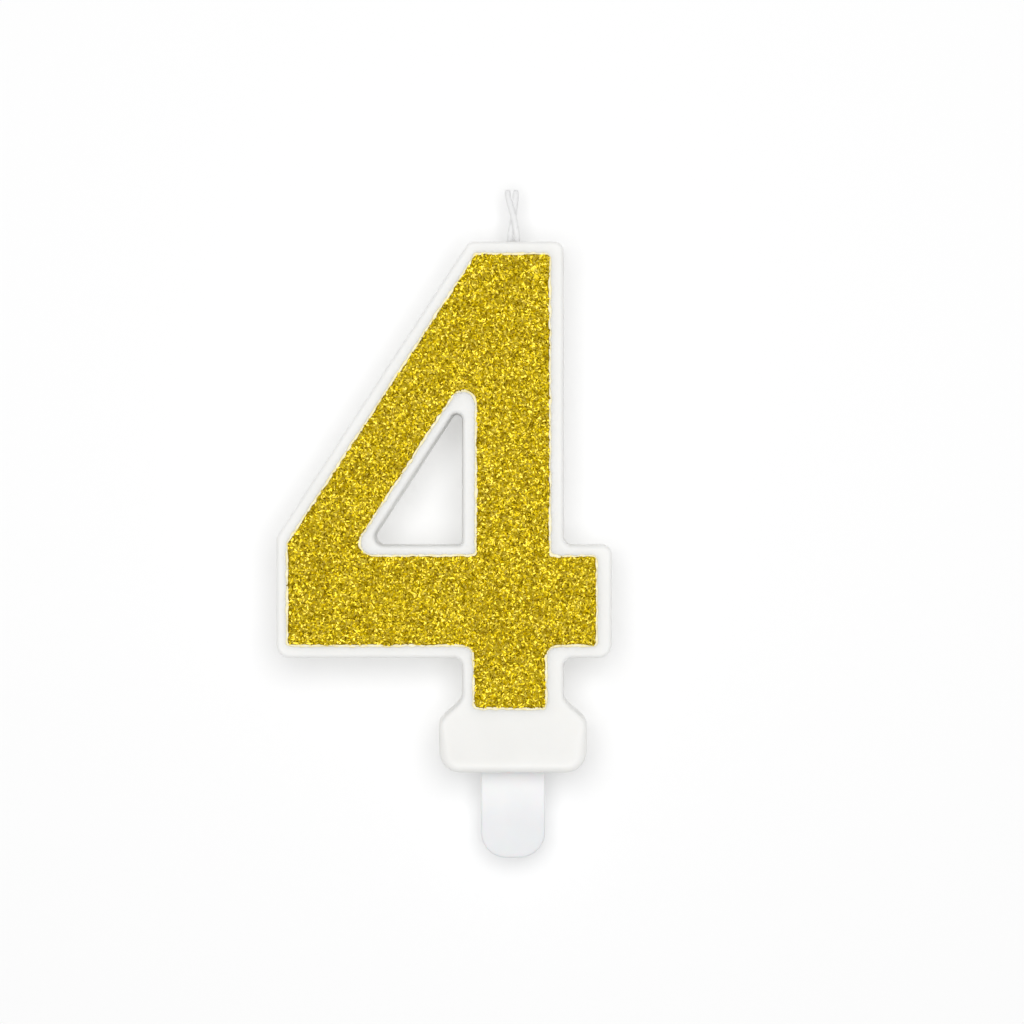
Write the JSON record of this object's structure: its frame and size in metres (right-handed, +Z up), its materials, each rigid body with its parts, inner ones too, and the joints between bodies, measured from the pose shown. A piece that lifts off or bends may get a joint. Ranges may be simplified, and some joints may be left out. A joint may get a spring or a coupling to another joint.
{
  "type": "number birthday candle",
  "caption": "Cast wax figure 4 with a gold glitter face, a twisted cotton wick and a widened foot, on a flat frosted plastic pick that pushes into a cake.",
  "frame": {"origin": "middle of the foot's underside, where the foot rests on the icing and the pick leaves it", "axes": "+Z up along the stem and the wick, -Y out of the glitter face, +X to the right of the figure seen from the front"},
  "size_m": [0.0442, 0.012, 0.0885],
  "materials": {
    "wax": "white paraffin wax, softly satin and slightly translucent",
    "glue": "clear dried glue, faintly yellow where it shows around the glitter",
    "glitter": "gold glitter flakes of metallised film, each at its own tilt",
    "cotton": "white waxed cotton yarn",
    "frosted_plastic": "frosted translucent polypropylene, natural white with a faint cool tint"
  },
  "bodies": {
    "pick": {"pick": "frosted_plastic"},
    "candle": {"wax_body": "wax", "glue_film": "glue", "glitter_coat": "glitter", "wick_ply_left": "cotton", "wick_ply_right": "cotton"}
  },
  "joints": [
    {"name": "candle_lift", "type": "slide", "parent": "pick", "child": "candle", "axis": [0, 0, 1], "range_m": [0, 0.012]}
  ]
}
